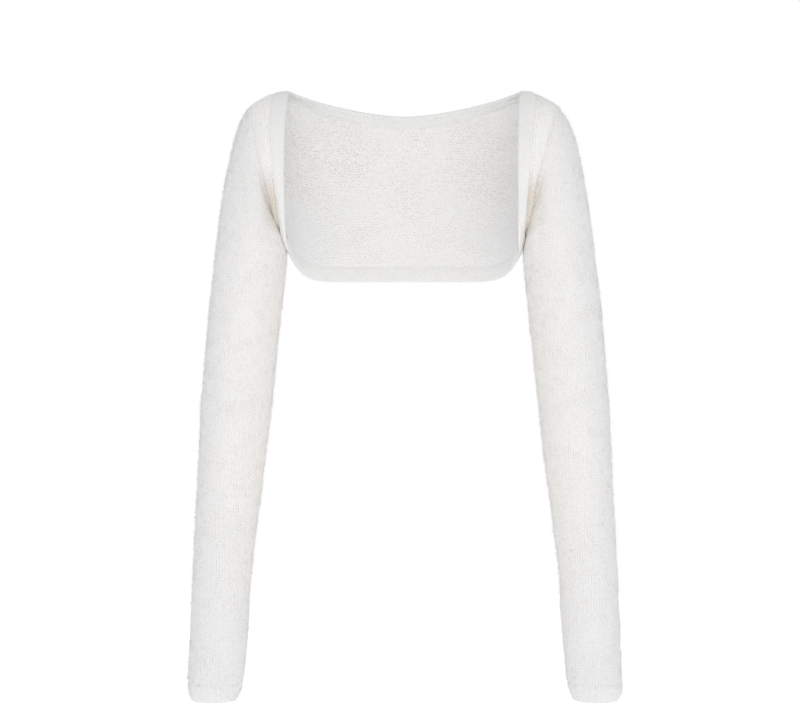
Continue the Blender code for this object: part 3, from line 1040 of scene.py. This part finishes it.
class BoleroNapSettings(bpy.types.PropertyGroup):
    """Hairs of the nap."""

    density: share_setting("Density", "Share of the full number of hairs", 1.0)
    length: share_setting("Length", "Length of the hairs, as a share of their usual length", 1.0, 3.0)
    lean: share_setting("Lean", "How far the hairs lean away from straight out", 0.5, 3.0)
    thickness: length_setting("Thickness", "Thickness of a hair at its root", 0.00022)


class BoleroStageSettings(bpy.types.PropertyGroup):
    """Camera, lights and floor."""

    camera_place: bpy.props.FloatVectorProperty(
        name="Camera", description="Place of the camera", default=(-0.0055, -2.4, -0.2),
        subtype="TRANSLATION", unit="LENGTH", size=3)
    camera_aim: bpy.props.FloatVectorProperty(
        name="Aim", description="Point in the middle of the picture", default=(-0.0055, 0.0, -0.29765),
        subtype="TRANSLATION", unit="LENGTH", size=3)
    lens: bpy.props.FloatProperty(
        name="Lens", description="Focal length on a 36 mm sensor, in mm", default=98.5, min=10.0)
    surround: share_setting("Surround", "Strength of the light from all round", 0.715, 5.0)
    front_power: bpy.props.FloatProperty(
        name="Front Light", description="Power of the large soft light", default=30.0, unit="POWER")
    floor_height: bpy.props.FloatProperty(
        name="Floor", description="Height of the floor", default=-2.6, unit="LENGTH", subtype="DISTANCE")
    floor_glow: share_setting("Floor Glow", "Light that the white floor gives off", 0.45, 5.0)


# ---- Operators ----
# How open a band's knit is, and from which height above its lower edge in metres. The cuffs are knitted
# like the sleeves.
ALL_OVER = -0.01
BAND_OPENNESS = {"neck_band": (0.7, 0.0058), "hem_band": (0.3, ALL_OVER), "front_band": (0.28, ALL_OVER)}


def knit_pieces(kinds):
    """Builds every piece of these kinds, with its nap."""
    knit, nap = bpy.context.scene.bolero_knit, bpy.context.scene.bolero_nap
    for name in PIECE_NAMES:
        kind = kind_of(name)
        if kind not in kinds:
            continue
        cloth = build_wall(name, knit.knit_wall / MM)
        if kind in BAND_OPENNESS:
            outside = inside = band_material(*BAND_OPENNESS[kind])
        else:
            # The front panels take the paler yarn: painted light that lifts the shade they stand in.
            yarn = knit.pale_yarn_and_painted_light if kind == "front_panel" else knit.yarn_colour
            outside, inside = knit_face_material("knit_face_" + kind, tuple(yarn)), purl_face_material()
        cloth.data.materials.append(outside)
        cloth.data.materials.append(inside)
        hairs = build_nap(cloth, name, nap)


class BOLERO_OT_back(bpy.types.Operator):
    """Knit the back panel"""

    bl_idname = "bolero.back"
    bl_label = "Back"

    def execute(self, context):
        knit_pieces({"back_panel"})
        return {"FINISHED"}


class BOLERO_OT_fronts(bpy.types.Operator):
    """Knit the two narrow front panels"""

    bl_idname = "bolero.fronts"
    bl_label = "Fronts"

    def execute(self, context):
        knit_pieces({"front_panel"})
        return {"FINISHED"}


class BOLERO_OT_sleeves(bpy.types.Operator):
    """Knit the two long sleeves"""

    bl_idname = "bolero.sleeves"
    bl_label = "Sleeves"

    def execute(self, context):
        knit_pieces({"sleeve"})
        return {"FINISHED"}


class BOLERO_OT_bands(bpy.types.Operator):
    """Knit the bands round the neck, down the fronts and along the hem"""

    bl_idname = "bolero.bands"
    bl_label = "Edge Bands"

    def execute(self, context):
        knit_pieces({"neck_band", "front_band", "hem_band"})
        return {"FINISHED"}


class BOLERO_OT_cuffs(bpy.types.Operator):
    """Knit the two cuff bands"""

    bl_idname = "bolero.cuffs"
    bl_label = "Cuffs"

    def execute(self, context):
        knit_pieces({"cuff"})
        return {"FINISHED"}


class BOLERO_OT_stage(bpy.types.Operator):
    """Set the white floor, the soft lights and the camera"""

    bl_idname = "bolero.stage"
    bl_label = "Stage"

    def execute(self, context):
        stage = context.scene.bolero_stage
        add_floor(stage)
        add_surround(stage)
        add_front_light(stage)
        add_camera(stage)
        context.scene.view_settings.view_transform = "Standard"
        return {"FINISHED"}


FLOOR_RADIUS = 14.0
LIGHT_SIZE = (3.0, 2.4)
LIGHT_PLACE = (0.3, -3.5, 0.8)
LIGHT_AIM = (0.0, 0.0, -0.25)
SENSOR_WIDTH = 36.0
WHITE = (1.0, 1.0, 1.0, 1.0)


def point_at(item, place, aim):
    item.location = place
    item.rotation_euler = (Vector(aim) - Vector(place)).to_track_quat("-Z", "Y").to_euler()


def add_floor(stage):
    disc = bmesh.new()
    bmesh.ops.create_circle(disc, cap_ends=True, segments=96, radius=FLOOR_RADIUS)
    bmesh.ops.translate(disc, verts=disc.verts, vec=(0.0, 0.0, stage.floor_height))
    floor = add_object("floor", as_mesh(disc, "floor"))
    finish = Finish("white_floor", (0.9, 0.9, 0.9))
    finish.surface({
        "Base Color": (0.86, 0.86, 0.86, 1.0), "Roughness": 0.9, "Emission Color": WHITE,
        "Emission Strength": stage.floor_glow})
    floor.data.materials.append(finish.material)


def add_surround(stage):
    """White all round: full white where it is seen, and softer as a light."""
    world = bpy.data.worlds.new("white_surround")
    world.use_nodes = True
    nodes, links = world.node_tree.nodes, world.node_tree.links
    light = nodes["Background"]
    light.inputs["Color"].default_value = WHITE
    light.inputs["Strength"].default_value = stage.surround
    seen = nodes.new("ShaderNodeBackground")
    seen.inputs["Color"].default_value = WHITE
    choice = nodes.new("ShaderNodeMixShader")
    links.new(nodes.new("ShaderNodeLightPath").outputs["Is Camera Ray"], choice.inputs[0])
    links.new(light.outputs[0], choice.inputs[1])
    links.new(seen.outputs[0], choice.inputs[2])
    links.new(choice.outputs[0], nodes["World Output"].inputs["Surface"])
    bpy.context.scene.world = world


def add_front_light(stage):
    lamp = bpy.data.lights.new("front_light", "AREA")
    lamp.shape = "RECTANGLE"
    lamp.size, lamp.size_y = LIGHT_SIZE
    lamp.energy = stage.front_power
    light = add_object("front_light", lamp)
    point_at(light, LIGHT_PLACE, LIGHT_AIM)


def add_camera(stage):
    view = bpy.data.cameras.new("camera")
    view.sensor_width = SENSOR_WIDTH
    view.lens = stage.lens
    camera = add_object("camera", view)
    point_at(camera, stage.camera_place, stage.camera_aim)
    bpy.context.scene.camera = camera


class BOLERO_PT_panel(bpy.types.Panel):
    """Settings and steps of the bolero cardigan"""

    bl_idname = "BOLERO_PT_panel"
    bl_label = "Bolero Cardigan"
    bl_space_type = "VIEW_3D"
    bl_region_type = "UI"
    bl_category = "Bolero"

    def draw(self, context):
        layout = self.layout
        for group in SETTING_GROUPS:
            box = layout.box()
            settings = getattr(context.scene, group)
            for setting in settings.bl_rna.properties:
                if not setting.is_readonly and setting.identifier != "name":
                    box.prop(settings, setting.identifier)
        for step in STEPS:
            layout.operator(step.bl_idname)


SETTING_GROUPS = {
    "bolero_knit": BoleroKnitSettings,
    "bolero_nap": BoleroNapSettings,
    "bolero_stage": BoleroStageSettings,
}
STEPS = (
    BOLERO_OT_back,
    BOLERO_OT_fronts,
    BOLERO_OT_sleeves,
    BOLERO_OT_bands,
    BOLERO_OT_cuffs,
    BOLERO_OT_stage,
)


def register():
    for added in (*SETTING_GROUPS.values(), *STEPS, BOLERO_PT_panel):
        bpy.utils.register_class(added)
    for name, group in SETTING_GROUPS.items():
        setattr(bpy.types.Scene, name, bpy.props.PointerProperty(type=group))


def unregister():
    for name in SETTING_GROUPS:
        delattr(bpy.types.Scene, name)
    for added in (BOLERO_PT_panel, *reversed(STEPS), *SETTING_GROUPS.values()):
        bpy.utils.unregister_class(added)


def main():
    register()
    bpy.ops.bolero.back()
    bpy.ops.bolero.fronts()
    bpy.ops.bolero.sleeves()
    bpy.ops.bolero.bands()
    bpy.ops.bolero.cuffs()
    bpy.ops.bolero.stage()


if __name__ == "__main__":
    main()
